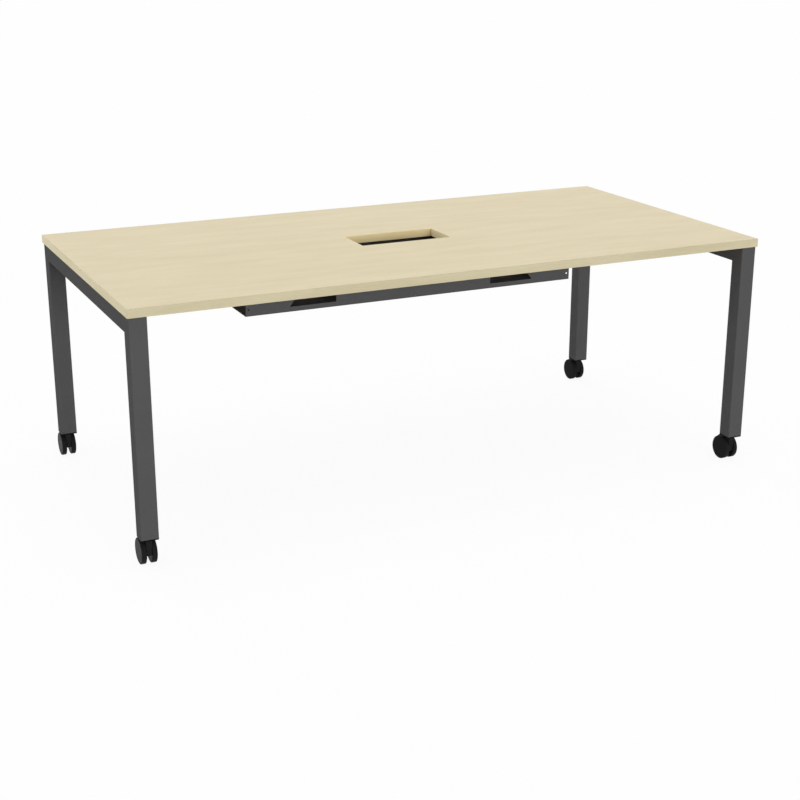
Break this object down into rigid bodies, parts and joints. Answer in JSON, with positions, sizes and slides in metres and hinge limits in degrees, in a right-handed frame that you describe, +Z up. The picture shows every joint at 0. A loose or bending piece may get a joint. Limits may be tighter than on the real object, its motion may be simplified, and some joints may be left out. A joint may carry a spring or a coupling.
{
  "type": "mobile meeting table",
  "caption": "Rectangular meeting table on swivelling twin-wheel casters: laminate top with a cable cut-out, square-tube end frames, and a folded cable tray hung beneath.",
  "frame": {"origin": "on the floor, below the middle of the whole outline; the trailing casters reach past the back edge, so the middle of the top is 16.25 mm towards -Y of it", "axes": "+X along the table's length to the right, -Y towards the front, +Z up"},
  "size_m": [2, 1.0326, 0.735],
  "materials": {
    "maple_laminate": "satin maple-decor laminate on board",
    "maple_edge": "maple-decor edge band, satin",
    "grey_powder_coat": "dark grey powder coat, fine texture, satin",
    "zinc_steel": "bright zinc plate",
    "black_nylon": "black nylon, semi-gloss",
    "black_tread": "black soft tread, matt",
    "black_insert": "black moulded plastic, matt"
  },
  "bodies": {
    "table": {"cable_tray": "grey_powder_coat", "caster_back_left_stem": "zinc_steel", "caster_back_right_stem": "zinc_steel", "caster_front_left_stem": "zinc_steel", "caster_front_right_stem": "zinc_steel", "caster_nuts": "zinc_steel", "cross_tube_left": "grey_powder_coat", "cross_tube_right": "grey_powder_coat", "cutout_band_back": "maple_edge", "cutout_band_front": "maple_edge", "cutout_band_left": "maple_edge", "cutout_band_right": "maple_edge", "edge_band_back": "maple_edge", "edge_band_front": "maple_edge", "edge_band_left": "maple_edge", "edge_band_right": "maple_edge", "leg_back_left": "grey_powder_coat", "leg_back_right": "grey_powder_coat", "leg_front_left": "grey_powder_coat", "leg_front_right": "grey_powder_coat", "leg_insert_back_left": "black_insert", "leg_insert_back_right": "black_insert", "leg_insert_front_left": "black_insert", "leg_insert_front_right": "black_insert", "rail_back": "grey_powder_coat", "rail_bolts": "zinc_steel", "rail_end_plates": "grey_powder_coat", "rail_front": "grey_powder_coat", "rail_rivet_nuts": "zinc_steel", "tabletop_board": "maple_laminate", "top_inserts": "zinc_steel", "top_screw_washers": "zinc_steel", "top_screws": "zinc_steel", "tray_screws": "zinc_steel"},
    "caster_front_left": {"caster_front_left_body": "black_nylon", "caster_front_left_axle": "zinc_steel"},
    "caster_front_left_wheel_left": {"caster_front_left_wheel_left": "black_nylon", "caster_front_left_tread_left": "black_tread"},
    "caster_front_left_wheel_right": {"caster_front_left_wheel_right": "black_nylon", "caster_front_left_tread_right": "black_tread"},
    "caster_front_right": {"caster_front_right_body": "black_nylon", "caster_front_right_axle": "zinc_steel"},
    "caster_front_right_wheel_left": {"caster_front_right_wheel_left": "black_nylon", "caster_front_right_tread_left": "black_tread"},
    "caster_front_right_wheel_right": {"caster_front_right_wheel_right": "black_nylon", "caster_front_right_tread_right": "black_tread"},
    "caster_back_left": {"caster_back_left_body": "black_nylon", "caster_back_left_axle": "zinc_steel"},
    "caster_back_left_wheel_left": {"caster_back_left_wheel_left": "black_nylon", "caster_back_left_tread_left": "black_tread"},
    "caster_back_left_wheel_right": {"caster_back_left_wheel_right": "black_nylon", "caster_back_left_tread_right": "black_tread"},
    "caster_back_right": {"caster_back_right_body": "black_nylon", "caster_back_right_axle": "zinc_steel"},
    "caster_back_right_wheel_left": {"caster_back_right_wheel_left": "black_nylon", "caster_back_right_tread_left": "black_tread"},
    "caster_back_right_wheel_right": {"caster_back_right_wheel_right": "black_nylon", "caster_back_right_tread_right": "black_tread"}
  },
  "joints": [
    {"name": "caster_front_left_swivel", "type": "hinge", "parent": "table", "child": "caster_front_left", "pos_m": [-0.971, -0.48725, 0.0375], "axis": [0, 0, 1], "continuous": true},
    {"name": "caster_front_left_wheel_left_spin", "type": "hinge", "parent": "caster_front_left", "child": "caster_front_left_wheel_left", "pos_m": [-0.986, -0.46325, 0.0375], "axis": [1, 0, 0], "continuous": true},
    {"name": "caster_front_left_wheel_right_spin", "type": "hinge", "parent": "caster_front_left", "child": "caster_front_left_wheel_right", "pos_m": [-0.956, -0.46325, 0.0375], "axis": [1, 0, 0], "continuous": true},
    {"name": "caster_front_right_swivel", "type": "hinge", "parent": "table", "child": "caster_front_right", "pos_m": [0.971, -0.48725, 0.0375], "axis": [0, 0, 1], "continuous": true},
    {"name": "caster_front_right_wheel_left_spin", "type": "hinge", "parent": "caster_front_right", "child": "caster_front_right_wheel_left", "pos_m": [0.956, -0.46325, 0.0375], "axis": [1, 0, 0], "continuous": true},
    {"name": "caster_front_right_wheel_right_spin", "type": "hinge", "parent": "caster_front_right", "child": "caster_front_right_wheel_right", "pos_m": [0.986, -0.46325, 0.0375], "axis": [1, 0, 0], "continuous": true},
    {"name": "caster_back_left_swivel", "type": "hinge", "parent": "table", "child": "caster_back_left", "pos_m": [-0.971, 0.45475, 0.0375], "axis": [0, 0, 1], "continuous": true},
    {"name": "caster_back_left_wheel_left_spin", "type": "hinge", "parent": "caster_back_left", "child": "caster_back_left_wheel_left", "pos_m": [-0.986, 0.47875, 0.0375], "axis": [1, 0, 0], "continuous": true},
    {"name": "caster_back_left_wheel_right_spin", "type": "hinge", "parent": "caster_back_left", "child": "caster_back_left_wheel_right", "pos_m": [-0.956, 0.47875, 0.0375], "axis": [1, 0, 0], "continuous": true},
    {"name": "caster_back_right_swivel", "type": "hinge", "parent": "table", "child": "caster_back_right", "pos_m": [0.971, 0.45475, 0.0375], "axis": [0, 0, 1], "continuous": true},
    {"name": "caster_back_right_wheel_left_spin", "type": "hinge", "parent": "caster_back_right", "child": "caster_back_right_wheel_left", "pos_m": [0.956, 0.47875, 0.0375], "axis": [1, 0, 0], "continuous": true},
    {"name": "caster_back_right_wheel_right_spin", "type": "hinge", "parent": "caster_back_right", "child": "caster_back_right_wheel_right", "pos_m": [0.986, 0.47875, 0.0375], "axis": [1, 0, 0], "continuous": true}
  ]
}
